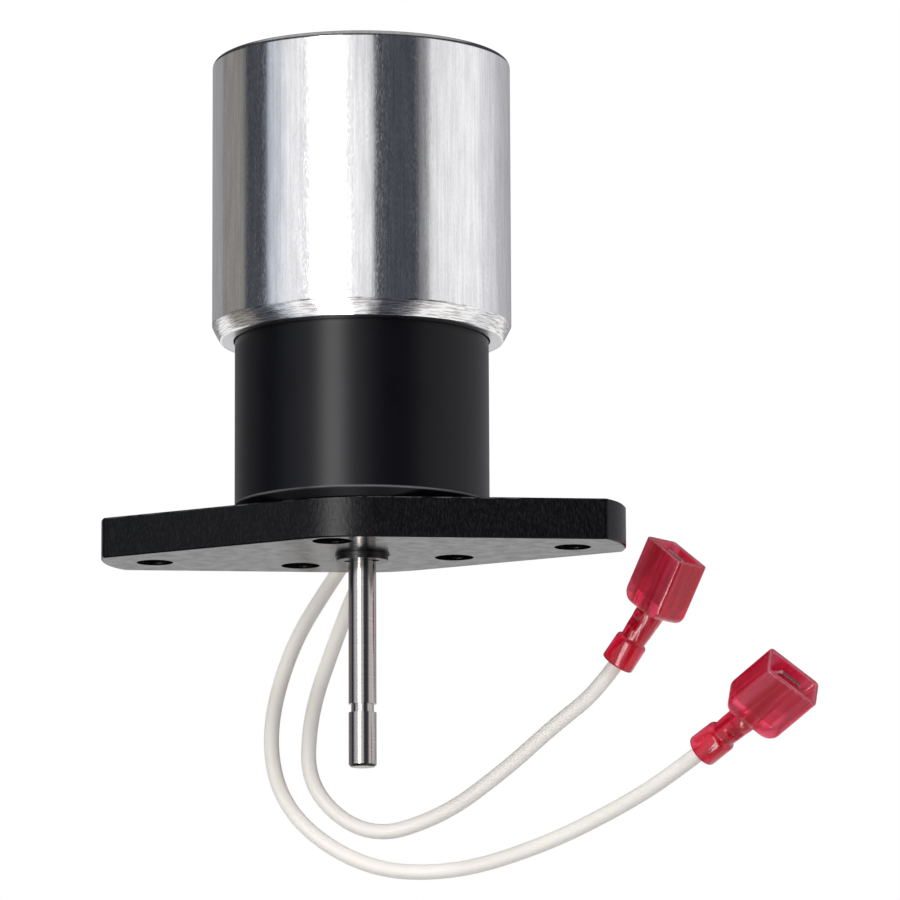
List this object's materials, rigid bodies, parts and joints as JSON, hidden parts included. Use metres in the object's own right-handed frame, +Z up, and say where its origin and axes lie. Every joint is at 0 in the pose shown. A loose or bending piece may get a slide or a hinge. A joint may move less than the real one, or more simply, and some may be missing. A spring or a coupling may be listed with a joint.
{
  "type": "injection pump actuator",
  "caption": "Push-type solenoid actuator: crimped steel can on a black housing and two-hole plate, sprung output shaft below, insulated leads with red tab terminals.",
  "frame": {"origin": "on the output shaft's axis, in the plane of the mounting plate's underside", "axes": "+Z up the shaft axis from the plate to the can's flat top, +X along the plate's two mounting holes, +Y towards the back where the leads come out"},
  "size_m": [0.1292, 0.0741, 0.146],
  "materials": {
    "can_steel": "satin",
    "housing_black": "satin",
    "plate_black": "satin",
    "shaft_steel": "polished",
    "black_spring_steel": "satin",
    "bearing_bronze": "satin",
    "soft_iron": "satin",
    "copper_wire": "satin",
    "bobbin_nylon": "matte",
    "coil_tape": "matte",
    "black_rubber": "matte",
    "lead_insulation": "satin",
    "red_nylon": "gloss",
    "tinned_brass": "satin"
  },
  "bodies": {
    "actuator": {"solenoid_can": "can_steel", "spring_housing": "housing_black", "mounting_plate": "plate_black", "housing_screws": "black_spring_steel", "plate_bushing": "bearing_bronze", "upper_bushing": "bearing_bronze", "shaft_wiper": "black_rubber", "base_seal": "black_rubber", "can_seal": "black_rubber", "return_spring": "shaft_steel", "pole_piece": "soft_iron", "anti_stick_shim": "bearing_bronze", "guide_tube": "bearing_bronze", "coil_bobbin": "bobbin_nylon", "coil_winding": "copper_wire", "coil_tape": "coil_tape", "flux_washer": "soft_iron", "bumper_pad": "black_rubber", "lead_grommet": "black_rubber", "coil_lead_1": "lead_insulation", "coil_lead_2": "lead_insulation", "lead_wire_1": "lead_insulation", "lead_wire_2": "lead_insulation", "terminal_insulator_1": "red_nylon", "terminal_insulator_2": "red_nylon", "terminal_blade_1": "tinned_brass", "terminal_blade_2": "tinned_brass"},
    "shaft": {"output_shaft": "shaft_steel", "stop_ring": "black_spring_steel", "stop_washer": "black_spring_steel", "seat_ring": "black_spring_steel", "spring_seat": "soft_iron", "plunger": "soft_iron", "plunger_lock_nut": "soft_iron"}
  },
  "joints": [
    {"name": "shaft_travel", "type": "slide", "parent": "actuator", "child": "shaft", "axis": [0, 0, -1], "range_m": [0, 0.012], "stiffness_N_per_m": 1730, "springref_m": -0.01, "deforming": ["return_spring"]}
  ]
}
